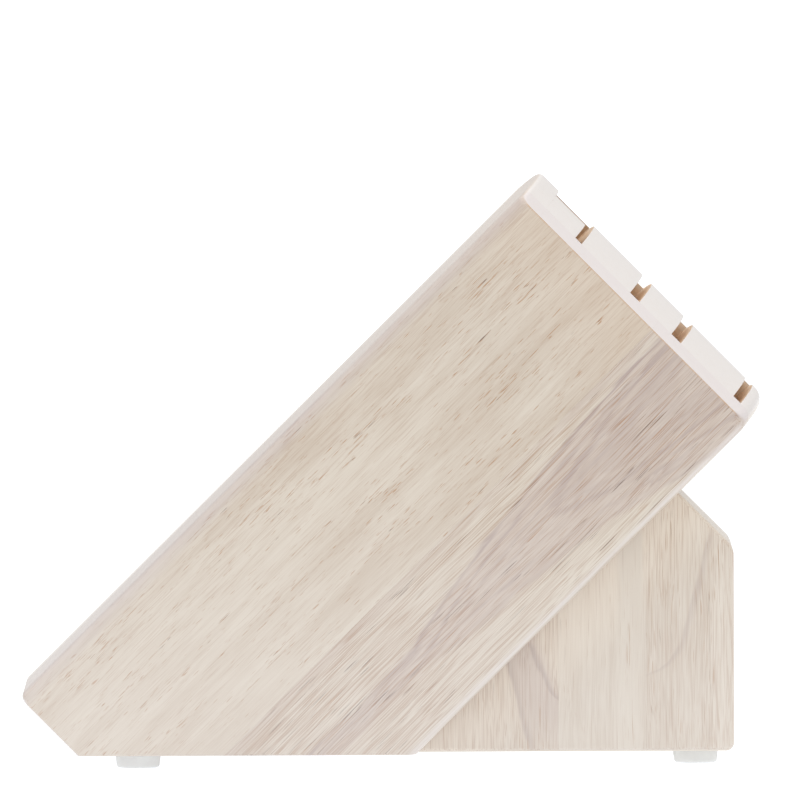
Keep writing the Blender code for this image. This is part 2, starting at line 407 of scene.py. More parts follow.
def add_pores(grain, colour, crowding, style):
    """Orange-brown pores along the grain, some nearly black. Also gives how open they are."""
    tree = grain.tree
    clusters = grain.sway(*PORE_CLUSTERS)
    open_pores = (grain.noise(style.length, style.width, 1) + clusters + crowding).rise(*PORE_OPENS)
    depth = grain.noise(style.length * 1.5, SHADE_WIDTH, 1)
    darkness = depth.rise(style.dark_level - 0.04, style.dark_level + 0.1)
    shade = colour_blend(tree, darkness, PORE, DARK_PORE)
    hairlines = grain.noise(style.length * 2, HAIRLINE_WIDTH, 1) + crowding * 2
    hairline_share = hairlines.rise(*HAIRLINE_OPENS) * style.hairlines
    colour = colour_blend(tree, hairline_share, colour, HAIRLINE)
    depth = depth.rise(0.3, 0.65) * 0.5 + 0.5
    return colour_blend(tree, open_pores * depth * style.strength, colour, shade), open_pores


# Painted bounce light from the floor: full at the floor, gone at this height
PAINTED_BOUNCE_HEIGHT = 120  # mm above the floor
PAINTED_BOUNCE_SHARE = 0.25
END_GRAIN_FACING = (0.55, 0.85)  # how squarely a face looks along the grain before its end grain shows
END_MIDDLE_TONE = 0.12
WOOD_BUMP_STRENGTH = 0.35
WOOD_BUMP_DISTANCE = 0.12 * MM


def finish_wood(grain, colour, pores, end_colour):
    """Adds painted bounce light from the floor low down and whitewash on end grain, then dresses the
    surface under a thin coat.
    """
    tree = grain.tree
    facing = abs(grain.facing(grain.axis))
    end_tone = grain.sway(0.4, 0.6, 0.6) + grain.sway(0.4, 200, 1.6) + END_MIDDLE_TONE
    washed = colour_blend(tree, end_tone.rise(0, 1), end_colour, ROSY)
    washed = colour_blend(tree, pores * 0.2, washed, ROSY)
    # Painted light: paler and cooler towards the floor, standing in for the floor's bounce light
    painted_bounce_share = grain.height.rise(PAINTED_BOUNCE_HEIGHT, 0) * PAINTED_BOUNCE_SHARE
    colour = colour_blend(tree, painted_bounce_share, colour, PAINTED_FLOOR_BOUNCE)
    colour = colour_blend(tree, facing.rise(*END_GRAIN_FACING), colour, washed)
    roughness = grain.noise(8, 1.2) * 0.18 + pores * 0.15 + 0.36
    bumps = grain.noise(9, 0.3) * 0.35 - pores
    shader = dress_surface(tree, colour, roughness, bumps, WOOD_BUMP_STRENGTH, WOOD_BUMP_DISTANCE)
    shader.inputs["IOR"].default_value = 1.46
    shader.inputs["Coat Weight"].default_value = 0.6
    shader.inputs["Coat Roughness"].default_value = 0.22


# Reach of each mark from an edge, in mm: where it starts to show, and where it is full. The upper edge
# gets a painted reflection, the lower edge a painted highlight and the upper face painted light; the
# worn line is wear.
UPPER_EDGE_REFLECTION_REACH = (6, 0.5)
LOWER_EDGE_HIGHLIGHT_REACH = (3.0, 0.9)
TOP_FACE_PAINT_REACH = (1.2, 0.0)
WORN_LINE = (0.6, 0.1)
PAINTED_RIM_REFLECTION = (62, 84)  # place across the upper face where a painted reflection turns it white
UPPER_EDGE_REFLECTION_SHARE = 0.62
TOP_FACE_SHARE = 0.9  # at the low end
TOP_FACE_FADE = 0.4  # what it loses towards the slotted end
PAINTED_RIM_REFLECTION_SHARE = 0.6
WORN_SHARE = 0.8


def block_edges(grain, colour):
    """Painted reflection on the rounded upper edge, painted highlight on the lower edge, painted shade
    and a painted reflection on the upper face, and a worn line round the slotted end.
    """
    tree = grain.tree
    end = crown_reach(grain)
    sides = from_sides(grain)
    # Painted reflection and shade: a cool, darker tint on the rounded upper edge stands in for its
    # reflection of the white room
    upper_edge_reflection = sides.highest(grain.depth).rise(*UPPER_EDGE_REFLECTION_REACH)
    # Painted highlight: a pale band on the rounded lower edge, in place of the floor's light caught
    # there
    lower_edge_highlight = sides.highest(BLOCK_THICK / MM - grain.depth).rise(*LOWER_EDGE_HIGHLIGHT_REACH)
    patchy = grain.patchy(25, 2, 0.3, 0.7, least=0.7)
    colour = colour_blend(tree, upper_edge_reflection * patchy * UPPER_EDGE_REFLECTION_SHARE, colour, PAINTED_EDGE_REFLECTION)
    colour = colour_blend(tree, lower_edge_highlight * patchy, colour, PAINTED_EDGE_HIGHLIGHT)
    # Painted shade on the upper face against the overhead light, and a painted reflection towards its
    # far edge
    fade = TOP_FACE_SHARE - grain.along.rise(20, 260) * TOP_FACE_FADE
    top_face = grain.depth.rise(*TOP_FACE_PAINT_REACH) * fade
    painted_rim_reflection = grain.across.rise(*PAINTED_RIM_REFLECTION)
    colour = colour_blend(tree, top_face * (1 - painted_rim_reflection) * patchy, colour, PAINTED_TOP_SHADE)
    colour = colour_blend(tree, top_face * painted_rim_reflection * PAINTED_RIM_REFLECTION_SHARE, colour, END_WHITE)
    end_edge = end.highest(sides).rise(*WORN_LINE)
    worn = grain.noise(1.5, 4).rise(0.2, 0.6)
    return colour_blend(tree, end_edge * worn * WORN_SHARE, colour, WORN_EDGE)


# How far the grain wanders: amount, length and width in mm
GENTLE_WANDER = (2.4, 140, 30)
STRONG_WANDER = (3.0, 90, 22)
UPRIGHT_WANDER = (3.0, 60, 18)


def board_grain(name, seed, wander):
    """A new material, and the grain frame of a board in the leaning block."""
    material = new_material(name)
    grain = Grain(material.node_tree, LOW_CORNER, LEAN, seed)
    grain.wander(*wander)
    return material, grain


WARM_END = (200, 245)  # mm along the grain, where the warmth starts and is full
WARM_SHARE = 0.22


def side_upper_material(name, seed, end_colour):
    """Cream stave, sparsely pored, and warmer towards the slotted end."""
    material, grain = board_grain(name, seed, GENTLE_WANDER)
    colour = long_grain(grain, BEIGE, SOFT_FIBRES)
    colour = colour_blend(grain.tree, grain.along.rise(*WARM_END) * WARM_SHARE, colour, WARM_STREAK)
    towards_edge = grain.depth.rise(34, 4) * 0.016 + grain.along.rise(60, 240) * 0.014
    colour, pores = add_pores(grain, colour, towards_edge, SHORT_PORES)
    colour = block_edges(grain, colour)
    finish_wood(grain, colour, pores, end_colour)
    return material


# The heartwood band, in mm. Its rim closes at the outer arch, and the rings inside it at the inner arch.
HEART_DEPTH = 86.8
OUTER_ARCH = 107
INNER_ARCH = 172
INNER_ARCH_DEPTH = 85
INNER_ARCH_WIDTH = 1.7  # distance from that depth at which a ring has fallen back by 1 mm
HEART_ABOVE = 3.2  # half thickness at the outer arch, on its shallow side
HEART_MORE_ABOVE = 25  # what that half could still grow by
HEART_GROWTH = 75  # distance past the arch in which it grows by half of that
HEART_BELOW = 4.8  # the same on the deep side, which grows steadily and then flares
HEART_SLOPE = 0.105
HEART_FLARE = 0.12
HEART_FLARE_START = 185
HEART_SHARE = 0.47  # of mauve, over the whole band
HEART_RIM = (-2.0, 2.0)  # distance inside the rim where the mauve starts and is full
HEART_LINES = ((0.8, 0.8), (4.6, 0.6), (8.4, 0.45), (12.0, 0.3))  # mm inside the rim, and strength
RING_SCALE = 0.09  # rings per mm inside the inner arch
FINE_RING_SCALE = 0.55  # and between the two arches


def heart_colour(grain, colour):
    """Mauve heartwood that opens towards the slotted end, with nested growth rings in it."""
    tree = grain.tree
    place = grain.depth + (grain.drift * 0.6 + grain.sway(4, 26, 4) + grain.sway(2.4, 13, 0.9))
    reach = (grain.along - OUTER_ARCH).highest(0)
    upper_half = reach * HEART_MORE_ABOVE / (reach + HEART_GROWTH) + HEART_ABOVE
    flare = (grain.along - HEART_FLARE_START).highest(0) * HEART_FLARE
    lower_half = reach * HEART_SLOPE + flare + HEART_BELOW
    from_middle = place - HEART_DEPTH
    below = from_middle.rise(-0.5, 0.5)
    inside = upper_half + (lower_half - upper_half) * below - abs(from_middle)
    within = inside.rise(0, 2)
    faded = grain.along.rise(50, 125) * 0.25 + 0.75
    colour = colour_blend(tree, inside.rise(*HEART_RIM) * faded * HEART_SHARE, colour, MAUVE)
    for from_rim, strength in HEART_LINES:
        line = abs(inside - from_rim).rise(1.2, 0.0) * (1 - below * 0.6)
        worn = grain.patchy(40, 8, 0.3, 0.65, least=0.3)
        colour = colour_blend(tree, line * worn * strength, colour, DARK_MAUVE)
    fall_back = (abs(place - INNER_ARCH_DEPTH) / INNER_ARCH_WIDTH) ** 2
    ring = grain.along - fall_back + grain.sway(16, 10, 0.8)
    rings = grain.noise_at(ring * RING_SCALE, grain.along * 0.01)
    inner = ring.rise(INNER_ARCH - 2, INNER_ARCH + 5) * within
    colour = colour_blend(tree, inner * (rings.rise(0.35, 0.65) * 0.3 + 0.04), colour, DARK_MAUVE)
    inner_rim = abs(ring - INNER_ARCH - 4).rise(6, 1) * within
    colour = colour_blend(tree, inner_rim * 0.32, colour, DARK_MAUVE)
    between = within * ring.rise(INNER_ARCH, INNER_ARCH - 8)
    lines = grain.noise_at(inside * FINE_RING_SCALE, grain.along * 0.02).rise(0.5, 0.72)
    return colour_blend(tree, between * lines * 0.45, colour, DARK_MAUVE)


# Mauve tints outside the heartwood: mm along the grain where each starts and is full, and its share
LOW_END_TINT = (185, 125)
LOW_END_SHARE = 0.1
GLUE_TINT = (5, 1)  # mm below the glue line
GLUE_SHARE = 0.15
GLUE_LOW_END = (130, 90)
GLUE_LOW_SHARE = 0.1
GLUE_HIGH_END = (170, 215)
GLUE_HIGH_SHARE = 0.2


def side_lower_material(name, seed, end_colour):
    """Stave with a mauve heartwood band and long, dense pores."""
    material, grain = board_grain(name, seed, STRONG_WANDER)
    colour = long_grain(grain, BEIGE, STRONG_FIBRES)
    low_end = grain.along.rise(*LOW_END_TINT)
    colour = colour_blend(grain.tree, low_end * LOW_END_SHARE, colour, MAUVE)
    colour = heart_colour(grain, colour)
    near_low_end = grain.along.rise(*GLUE_LOW_END) * GLUE_LOW_SHARE
    near_high_end = grain.along.rise(*GLUE_HIGH_END) * GLUE_HIGH_SHARE
    glue_side = (grain.depth - STAVE_LINE / MM).rise(*GLUE_TINT)
    glue_share = glue_side * (near_low_end + near_high_end + GLUE_SHARE)
    colour = colour_blend(grain.tree, glue_share, colour, MAUVE)
    crowding = grain.along.rise(160, 80) * 0.032 + 0.012
    colour, pores = add_pores(grain, colour, crowding, LONG_PORES)
    colour = block_edges(grain, colour)
    finish_wood(grain, colour, pores, end_colour)
    return material


def core_material(name, seed):
    """Boards between the slots. Their ends show, and the outer faces of the first and last."""
    material, grain = board_grain(name, seed, GENTLE_WANDER)
    colour, pores = add_pores(grain, long_grain(grain, ROSY, SOFT_FIBRES), 0.0, SHORT_PORES)
    colour = block_edges(grain, colour)
    finish_wood(grain, colour, pores, END_WHITE)
    return material


RAW_SEED = 900
MOUTH_WASH = (4, 0.3)  # reach of the whitewash into a mouth, in mm
MOUTH_WASH_SHARE = 0.45
POCKET_SHADE_SHARE = 0.8  # how strong the painted shade is in the pocket and the slot in it
RAW_BUMP_STRENGTH = 0.4
RAW_BUMP_DISTANCE = 0.3 * MM


def raw_material():
    """Unfinished wood inside the slots and the pocket, with a little whitewash at the mouths and painted
    shade in the pocket and the first slot.
    """
    material = new_material("slot_walls")
    grain = Grain(material.node_tree, LOW_CORNER, LEAN, RAW_SEED)
    tree = grain.tree
    tone = grain.noise(60, 2, 3) * 0.7 + grain.noise(2.2, 9) * 0.3
    colour = colour_blend(tree, tone.rise(0.25, 0.75), RAW_BROWN, RAW_DARK)
    from_level_cut = (grain.along - grain.depth + LOW_END_FACE / MM) * math.sqrt(0.5)
    low_end = grain.along.lowest(from_level_cut)
    washed = (crown_reach(grain).lowest(low_end) + grain.sway(3, 6, 2)).rise(*MOUTH_WASH)
    colour = colour_blend(tree, washed * MOUTH_WASH_SHARE, colour, PALE_CREAM)
    # Painted shade: the pocket and the first slot are darker and browner, where little light reaches
    slot_floor = SLOT_1.last / MM
    pocket = grain.depth.rise(slot_floor - 0.1, slot_floor - 0.5)
    colour = colour_blend(tree, pocket * POCKET_SHADE_SHARE, colour, POCKET_PAINTED_SHADE)
    saw_marks = grain.noise(0.9, 12, 1) + grain.noise(10, 0.3)
    dress_surface(tree, colour, tone * 0.2 + 0.65, saw_marks, RAW_BUMP_STRENGTH, RAW_BUMP_DISTANCE)
    return material


HOOK_POWER = 12  # how late a ring line turns


def ring_line(grain, start, end, hook, width, shadow):
    """A growth ring that shows as a line, from one (along, depth) to another, and its distance.

    It runs straight for its first part, and turns down to its end by as much as the hook says. It is
    sharp on its shallow side, and fades over the shadow's width on its deep side."""
    start_along, start_depth = start
    end_along, end_depth = end
    share = (grain.along - start_along) * (1 / (end_along - start_along))
    hooked = (share.highest(0) ** HOOK_POWER) * hook + share * (1 - hook)
    curve = hooked * (end_depth - start_depth) + start_depth
    side = grain.depth + (grain.sway(2.2, 18, 5) + grain.sway(1.2, 9, 0.8)) - curve
    line = side.rise(-width, 0) * side.rise(shadow, 0)
    return line * share.rise(-0.05, 0.1) * share.rise(1.1, 0.9), side


# Marks on the support. The ends of a ring line are mm above the floor and mm from under the low
# corner. The others are level distances in mm where a mark starts and is full, and those beside the
# block are less the height, because its lower face leans.
LEFT_RING = ((44, 165), (6, 175))
RIGHT_RING = ((42, 174.5), (22, 186))
OUTER_RING = ((80, 237), (30.5, 214))
# Painted light beside the block, where the block shades the support
PAINTED_FILL_PLACE = (172, 134)
BROWN_STREAKS = (146, 126)
PALE_STRIP = (203, 207)
PALE_EDGE = (235, 240)
PAINTED_FILL_SHARE = 0.5
RING_SHARE = 0.5
OUTER_RING_SHARE = 0.32
PALE_STRIP_SHARE = 0.6
PALE_EDGE_SHARE = 0.3


def support_material(name, seed, crowding, features):
    """Upright grain in one stave of the support, with painted light beside the block, where the block's
    shadow falls.
    """
    material = new_material(name)
    grain = Grain(material.node_tree, UNDER_CORNER, math.radians(90), seed)
    grain.wander(*UPRIGHT_WANDER)
    # Painted light: paler and warmer towards the block, against its shadow
    painted_fill = (grain.depth - grain.along).rise(*PAINTED_FILL_PLACE)
    colour = long_grain(grain, BEIGE, MIDDLING_FIBRES)
    colour = colour_blend(grain.tree, painted_fill * PAINTED_FILL_SHARE, colour, PAINTED_FILL_LIGHT)
    colour = features(grain, colour)
    colour, pores = add_pores(grain, colour, crowding, FAINT_PORES)
    finish_wood(grain, colour, pores, CREAM)
    return material


def inner_features(grain, colour):
    """A rosy heart between two ring lines, and brown streaks towards the block."""
    tree = grain.tree
    left, left_side = ring_line(grain, *LEFT_RING, hook=0.0, width=1.2, shadow=2.5)
    right, right_side = ring_line(grain, *RIGHT_RING, hook=0.25, width=1.0, shadow=2.2)
    heart = left_side.rise(-0.5, 2.5) * grain.along.rise(0, 24) * right_side.rise(6, -1)
    near_block = (grain.depth - grain.along).rise(*BROWN_STREAKS)
    streaks = grain.patchy(40, 1.3, 0.4, 0.7, least=0.4)
    colour = colour_blend(tree, (near_block * 0.22 + 0.09) * streaks, colour, WARM_STREAK)
    colour = colour_blend(tree, heart * RING_SHARE, colour, MAUVE)
    colour = colour_blend(tree, left * RING_SHARE, colour, DARK_MAUVE)
    return colour_blend(tree, right * RING_SHARE, colour, DARK_MAUVE)


def middle_features(grain, colour):
    """A pale strip beside the outer glue line."""
    glue_line = SUPPORT_STAVE_LINES[1] / MM
    pale = (grain.depth + grain.sway(3, 50, 6)).rise(*PALE_STRIP)
    pale = pale * grain.depth.rise(glue_line - 0.1, glue_line - 2.1)
    return colour_blend(grain.tree, pale * PALE_STRIP_SHARE, colour, CREAM)


def outer_features(grain, colour):
    """One long ring line that hooks towards the inner stave as it goes down, and a pale outer edge."""
    line, _ = ring_line(grain, *OUTER_RING, hook=0.45, width=1.0, shadow=2.4)
    edge = (grain.depth + grain.sway(4, 60, 5)).rise(*PALE_EDGE)
    colour = colour_blend(grain.tree, edge * PALE_EDGE_SHARE, colour, PALE_CREAM)
    return colour_blend(grain.tree, line * OUTER_RING_SHARE, colour, DARK_MAUVE)


# ---------------------------------------------------------------- outlines, as in the CAD


def inset_line(point, direction, inset):
    """A line as (point, direction), moved to its left by the inset."""
    along = Vector(direction).normalized()
    return Vector(point) + Vector((-along.y, along.x)) * inset, along


def crossing(line, other_line):
    """Where two lines meet."""
    start, along = line
    other, across = other_line
    distance = (other - start).cross(across) / along.cross(across)
    return start + along * distance


def rounded_outline(lines, radii):
    """Points of the polygon inside these lines, rounded where each line meets the one before it."""
    corners = [crossing(lines[index - 1], line) for index, line in enumerate(lines)]
    points = []
    for index, (corner, radius) in enumerate(zip(corners, radii)):
        before = (corners[index - 1] - corner).normalized()
        after = (corners[(index + 1) % len(corners)] - corner).normalized()
        half_angle = before.angle(after) / 2
        centre = corner + (before + after).normalized() * (radius / math.sin(half_angle))
        start = corner + before * (radius / math.tan(half_angle)) - centre
        turn = -math.copysign(math.pi - 2 * half_angle, before.cross(after))
        for step in range(ROUND_STEPS + 1):
            points.append(centre + Matrix.Rotation(turn * step / ROUND_STEPS, 2) @ start)
    return points


def edge_loss(from_side, radius):
    """How far a face has turned in at this distance from a side face, under a rounded edge."""
    if from_side >= radius:
        return 0.0
    return radius - math.sqrt(max(0.0, radius**2 - (radius - from_side) ** 2))


def crown(across):
    """How far the slotted end bulges at this place across the width."""
    from_middle = across - BLOCK_WIDTH / 2
    return math.sqrt(CROWN_RADIUS**2 - from_middle**2) - (CROWN_RADIUS - CROWN_RISE)


def block_outline(across):
    """Side outline of the finished block at this place across its width, in its local XZ."""
    from_side = min(across, BLOCK_WIDTH - across)
    long_loss = edge_loss(from_side, LONG_EDGE_ROUND)
    cut_loss = edge_loss(from_side, CUT_EDGE_EASE)
    high_end = BLOCK_LENGTH + crown(across)
    upper_face = inset_line((0, 0), (-1, 0), long_loss)
    low_end = inset_line((0, 0), (0, -1), cut_loss)
    level_cut = inset_line((0, -LOW_END_FACE), (math.cos(LEAN), -math.sin(LEAN)), cut_loss)
    lower_face = inset_line((0, -BLOCK_THICK), (1, 0), long_loss)
    slotted_end = inset_line((high_end, 0), (0, 1), 0)
    return rounded_outline(
        (upper_face, low_end, level_cut, lower_face, slotted_end),
        (HIGH_CORNER_ROUND, LOW_END_ROUND, BASE_CORNER_ROUND, BASE_CORNER_ROUND, LOWER_CORNER_ROUND),
    )


def support_outline(across):
    """Side outline of the finished support, in XZ measured from under the block's low corner."""
    from_side = min(across, BLOCK_WIDTH - across) - SUPPORT_SET_BACK
    ease = edge_loss(from_side, SUPPORT_EDGE_EASE)
    peak_height = FOOT_HEIGHT + (SUPPORT_PEAK_X - CUT_END_X) * math.tan(LEAN)
    glued_face = inset_line((CUT_END_X, FOOT_HEIGHT), (-math.cos(LEAN), -math.sin(LEAN)), GLUE_LINE)
    floor_line = inset_line((0, FOOT_HEIGHT), (1, 0), ease)
    upright = inset_line((SUPPORT_REACH, 0), (0, 1), ease)
    chamfer = inset_line((SUPPORT_PEAK_X, peak_height), (-1, 1), ease)
    return rounded_outline(
        (glued_face, floor_line, upright, chamfer),
        (GLUED_CORNER_ROUND, GLUED_CORNER_ROUND, SUPPORT_CORNER_ROUND, CHAMFER_CORNER_ROUND),
    )


def eased_stations(near, far, radius, inner_steps):
    """Stations along Y from near to far, closer together where the long edges turn over."""
    turn = []
    for step in range(ROUND_STEPS + 1):
        turn.append(radius * (1 - math.cos(math.pi / 2 * step / ROUND_STEPS)))
    inner = []
    for step in range(1, inner_steps):
        inner.append(near + radius + (far - near - 2 * radius) * step / inner_steps)
    return [near + offset for offset in turn] + inner + [far - offset for offset in reversed(turn)]


# ---------------------------------------------------------------- meshes


def object_from(name, body):
    """An object at the origin that holds a bmesh."""
    bmesh.ops.recalc_face_normals(body, faces=body.faces)
    mesh = bpy.data.meshes.new(name)
    body.to_mesh(mesh)
    body.free()
    item = bpy.data.objects.new(name, mesh)
    bpy.context.scene.collection.objects.link(item)
    return item


def skinned(rings_of_points):
    """A closed bmesh through rings of points, with a flat face over the first and the last."""
    body = bmesh.new()
    rings = []
    for points in rings_of_points:
        rings.append([body.verts.new(point) for point in points])
    for ring, following in zip(rings, rings[1:]):
        for index in range(len(ring)):
            # Index -1 closes the ring.
            body.faces.new((ring[index - 1], ring[index], following[index], following[index - 1]))
    body.faces.new(rings[0])
    body.faces.new(rings[-1])
    return body


def lofted_guide(name, stations, outline_at):
    """A closed shaping solid through outlines in XZ, one at each station along Y."""
    rings = []
    for station in stations:
        rings.append([(point.x, station, point.y) for point in outline_at(station)])
    return object_from(name, skinned(rings))


def shaped_board(low, high, shape):
    """A bmesh of the board blank between two corners, cut to the finished outer shape."""
    size = Vector(high) - Vector(low)
    middle = (Vector(high) + Vector(low)) / 2
    blank = bmesh.new()
    bmesh.ops.create_cube(blank, size=1)
    placed = Matrix.Translation(middle) @ Matrix.Diagonal((*size, 1))
    bmesh.ops.transform(blank, matrix=placed, verts=blank.verts)
    item = object_from("blank", blank)
    cut = item.modifiers.new("finished_shape", "BOOLEAN")
    cut.operation = "INTERSECT"
    cut.solver = "EXACT"
    cut.object = shape
    graph = bpy.context.evaluated_depsgraph_get()
    body = bmesh.new()
    body.from_mesh(item.evaluated_get(graph).to_mesh())
    bpy.data.objects.remove(item)
    return body


# Open rooms inside the block: near and far end across, first and last depth
OPEN_ROOMS = [(POCKET_NEAR, SLOT_1.far_end, POCKET_TOP, SLOT_1.first)]
for room in (SLOT_1, SLOT_2, SLOT_3, SLOT_4):
    OPEN_ROOMS.append((NEAR_BOARD, room.far_end, room.first, room.last))
NEAR_ENOUGH = 0.0001


def at_an_opening(point):
    """True for a point of the block's own frame that is on the wall of an open room."""
    for near, far, first, last in OPEN_ROOMS:
        across_ok = near - NEAR_ENOUGH <= point.y <= far + NEAR_ENOUGH
        if across_ok and first - NEAR_ENOUGH <= -point.z <= last + NEAR_ENOUGH:
            return True
    return False


ALONG_THE_GRAIN = 0.9  # how much of an edge's direction is along the grain when it is a long edge
MOUTH_STEPS = 3


def ease_mouths(body):
    """Rounds the edges where slot walls come out of the wood."""
    mouths = []
    for edge in body.edges:
        along = (edge.verts[1].co - edge.verts[0].co).normalized()
        middle = (edge.verts[0].co + edge.verts[1].co) / 2
        long_edge = abs(along.x) > ALONG_THE_GRAIN
        if long_edge or len(edge.link_faces) != 2 or not at_an_opening(middle):
            continue
        if edge.calc_face_angle() > SMOOTH_ANGLE:
            mouths.append(edge)
    bmesh.ops.bevel(
        body, geom=mouths, offset=MOUTH_EASE, segments=MOUTH_STEPS, profile=0.5, affect="EDGES"
    )


WALL_TILT = 0.2  # how far a slot wall may face along the grain


def mark_slot_walls(body):
    """Gives the second material to faces that are inside the block."""
    for face in body.faces:
        centre = face.calc_center_median()
        inside_across = NEAR_BOARD - NEAR_ENOUGH <= centre.y <= FAR_INNER + NEAR_ENOUGH
        inside_depth = POCKET_TOP - NEAR_ENOUGH <= -centre.z <= SLOT_4.last + NEAR_ENOUGH
        if abs(face.normal.x) < WALL_TILT and inside_across and inside_depth:
            face.material_index = 1


def smooth_object(name, body, materials):
    """An object from a bmesh, smooth apart from its sharp edges, in these materials."""
    piece = object_from(name, body)
    for material in materials:
        piece.data.materials.append(material)
    piece.data.shade_smooth()
    piece.data.set_sharp_from_angle(angle=SMOOTH_ANGLE)
    return piece


def wooden_piece(node, body, placing, materials):
    """Makes the visible piece that stands for a wooden CAD node."""
    bmesh.ops.transform(body, matrix=placing, verts=body.verts)
    piece = smooth_object(f"{node}_wood", body, materials)
    normals = piece.modifiers.new("flat_faces_stay_flat", "WEIGHTED_NORMAL")
    normals.keep_sharp = True
    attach(piece, "root")
    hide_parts(node)


def block_board(node, depths, across, shape, material, gaps=(0, 0)):
    """Makes a board between two depths and two places across, short of its neighbours by the gaps."""
    shallow, deep = depths
    near, far = across
    top = OVERSIZE if shallow == 0 else -shallow - gaps[0]
    bottom = -BLOCK_THICK - OVERSIZE if deep == BLOCK_THICK else -deep + gaps[1]
    near_side = -OVERSIZE if near == 0 else near
    far_side = BLOCK_WIDTH + OVERSIZE if far == BLOCK_WIDTH else far - GLUE_LINE
    low = (-OVERSIZE, near_side, bottom)
    high = (BLOCK_LENGTH + OVERSIZE, far_side, top)
    body = shaped_board(low, high, shape)
    ease_mouths(body)
    mark_slot_walls(body)
    wooden_piece(node, body, BLOCK_FRAME, (material, SLOT_WALLS))


# Where each material's noise starts, and how far apart boards of a kind start
NEAR_SIDE_SEED = 0
FAR_SIDE_SEED = 300
STAVE_SEED_STEP = 60
CORE_SEED = 400
CORE_SEED_STEP = 40
SUPPORT_SEED = 1000


def make_side_boards(shape):
    """Both side boards, each edge-glued from two staves."""
    sides = (
        ("near", (0, NEAR_BOARD), NEAR_SIDE_SEED, END_LILAC),
        ("far", (FAR_INNER, BLOCK_WIDTH), FAR_SIDE_SEED, END_WHITE),
    )
    for side, across, seed, end_colour in sides:
        upper = f"side_board_{side}_upper"
        lower = f"side_board_{side}_lower"
        cream = side_upper_material(upper, seed, end_colour)
        mauve = side_lower_material(lower, seed + STAVE_SEED_STEP, end_colour)
        block_board(upper, (0, STAVE_LINE), across, shape, cream)
        depths = (STAVE_LINE, BLOCK_THICK)
        block_board(lower, depths, across, shape, mauve, (GLUE_LINE, 0))


def make_core(shape):
    """The boards between the slots, and the fillers that close the slots and the pocket."""
    inside = (NEAR_BOARD, FAR_INNER)
    beside_pocket = (NEAR_BOARD, POCKET_NEAR + GLUE_LINE)
    none = (0, 0)
    both = (GLUE_LINE, GLUE_LINE)
    boards = (
        ("core_board_top", (0, POCKET_TOP), inside, none),
        ("core_board_upper", (SLOT_1.last, SLOT_2.first), inside, none),
        ("core_board_middle", (SLOT_2.last, SLOT_3.first), inside, none),
        ("core_board_lower", (SLOT_3.last, SLOT_4.first), inside, none),
        ("core_board_bottom", (SLOT_4.last, BLOCK_THICK), inside, none),
        ("pocket_filler_near", (POCKET_TOP, SLOT_1.first), beside_pocket, (GLUE_LINE, 0)),
        ("pocket_filler_far", (POCKET_TOP, SLOT_1.last), (SLOT_1.far_end, FAR_INNER), both),
        ("slot_spacer_third", SLOT_3[:2], (SLOT_3.far_end, FAR_INNER), both),
        ("slot_spacer_fourth", SLOT_4[:2], (SLOT_4.far_end, FAR_INNER), both),
    )
    for index, (node, depths, across, gaps) in enumerate(boards):
        material = core_material(node, CORE_SEED + CORE_SEED_STEP * index)
        block_board(node, depths, across, shape, material, gaps)


def make_support(shape):
    """The wedge support, edge-glued from three upright staves."""
    first_line, second_line = SUPPORT_STAVE_LINES
    # Name, left and right side, crowding of the pores, and the stave's own marks
    staves = (
        ("inner", 0, first_line, 0.03, inner_features),
        ("middle", first_line, second_line, -0.03, middle_features),
        ("outer", second_line, SUPPORT_REACH + OVERSIZE, 0.025, outer_features),
    )
    for index, (name, left, right, crowding, features) in enumerate(staves):
        node = f"support_stave_{name}"
        material = support_material(node, SUPPORT_SEED + STAVE_SEED_STEP * index, crowding, features)
        body = shaped_board((left, 0, 0), (right - GLUE_LINE, BLOCK_WIDTH, BLOCK_THICK), shape)
        wooden_piece(node, body, SUPPORT_FRAME, (material,))


# ---------------------------------------------------------------- feet

FOOT_SEED = 1300
MILKY_LIGHT = srgb(241, 241, 239)
MILKY_DARK = srgb(238, 237, 235)
FOOT_BUMP_STRENGTH = 0.15
FOOT_BUMP_DISTANCE = 0.1 * MM


def foot_material():
    """Frosted, slightly milky soft plastic."""
    material = new_material("foot_plastic")
    tree = material.node_tree
    grain = Grain(tree, UNDER_CORNER, 0, FOOT_SEED)
    milky = colour_blend(tree, grain.noise(4, 4).rise(0.3, 0.7), MILKY_LIGHT, MILKY_DARK)
    roughness = grain.noise(0.5, 0.5) * 0.2 + 0.35
    frost = grain.noise(0.3, 0.3)
    shader = dress_surface(tree, milky, roughness, frost, FOOT_BUMP_STRENGTH, FOOT_BUMP_DISTANCE)
    shader.inputs["Transmission Weight"].default_value = 0.25
    shader.inputs["IOR"].default_value = 1.42
    return material


# Points of a foot's outline in metres: in from its widest radius and down from its glued top, and
# then in from where the rim's round ends and up from the floor
FOOT_TOP_EDGE = ((0.0004, GLUE_LINE), (0.0001, 0.0002), (0.0, 0.0005))
FOOT_SOLE = ((0.0012, 0.0), (0.0016, 0.0001), (0.0020, 0.0003))


def foot_profile():
    """Radius and height down a bumper's outside: eased top, tapered side, round rim, dished sole."""
    widest = FOOT_DIAMETER / 2
    turn_centre = widest - FOOT_TAPER - FOOT_ROUND
    profile = [(widest - inwards, FOOT_HEIGHT - down) for inwards, down in FOOT_TOP_EDGE]
    for step in range(ROUND_STEPS + 1):
        angle = math.pi / 2 * step / ROUND_STEPS
        radius = turn_centre + FOOT_ROUND * math.cos(angle)
        profile.append((radius, FOOT_ROUND - FOOT_ROUND * math.sin(angle)))
    return profile + [(turn_centre - inwards, up) for inwards, up in FOOT_SOLE]


